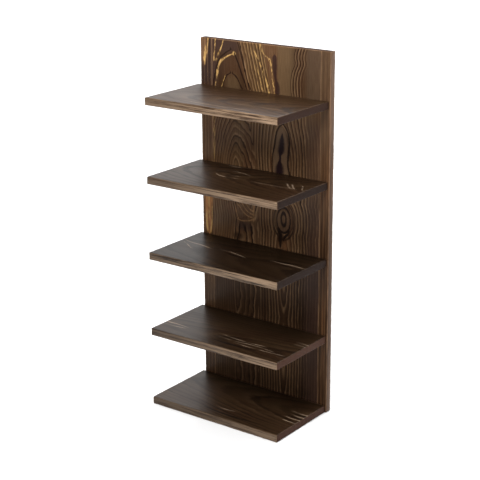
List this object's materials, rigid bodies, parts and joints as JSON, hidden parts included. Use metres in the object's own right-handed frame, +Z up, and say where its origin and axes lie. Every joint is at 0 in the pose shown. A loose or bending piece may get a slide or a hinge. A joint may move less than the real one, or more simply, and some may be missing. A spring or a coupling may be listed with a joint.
{
  "type": "eyeglass display rack",
  "caption": "Tabletop wooden rack for eyeglasses: an upright back board with shelves on its front, each holding one pair.",
  "frame": {"origin": "on the table, under the middle of the rack's bounding box", "axes": "+Z up, +X to the right of someone facing the rack, and the shelves reach forward along -Y"},
  "size_m": [0.1626, 0.0954, 0.38],
  "materials": {
    "stained_wood": "dark walnut stain on figured softwood, satin",
    "stained_shelf": "dark walnut stain on straight-grained softwood, satin with a soft shine",
    "zinc_plated_steel": "zinc plated"
  },
  "bodies": {
    "root": {"back_board_left_stave": "stained_wood", "back_board_centre_stave": "stained_wood", "back_board_right_stave": "stained_wood", "top_shelf": "stained_shelf", "second_shelf": "stained_shelf", "middle_shelf": "stained_shelf", "fourth_shelf": "stained_shelf", "base_shelf": "stained_shelf", "top_shelf_screw_left": "zinc_plated_steel", "top_shelf_screw_right": "zinc_plated_steel", "second_shelf_screw_left": "zinc_plated_steel", "second_shelf_screw_right": "zinc_plated_steel", "middle_shelf_screw_left": "zinc_plated_steel", "middle_shelf_screw_right": "zinc_plated_steel", "fourth_shelf_screw_left": "zinc_plated_steel", "fourth_shelf_screw_right": "zinc_plated_steel", "base_shelf_screw_left": "zinc_plated_steel", "base_shelf_screw_right": "zinc_plated_steel"}
  },
  "joints": []
}
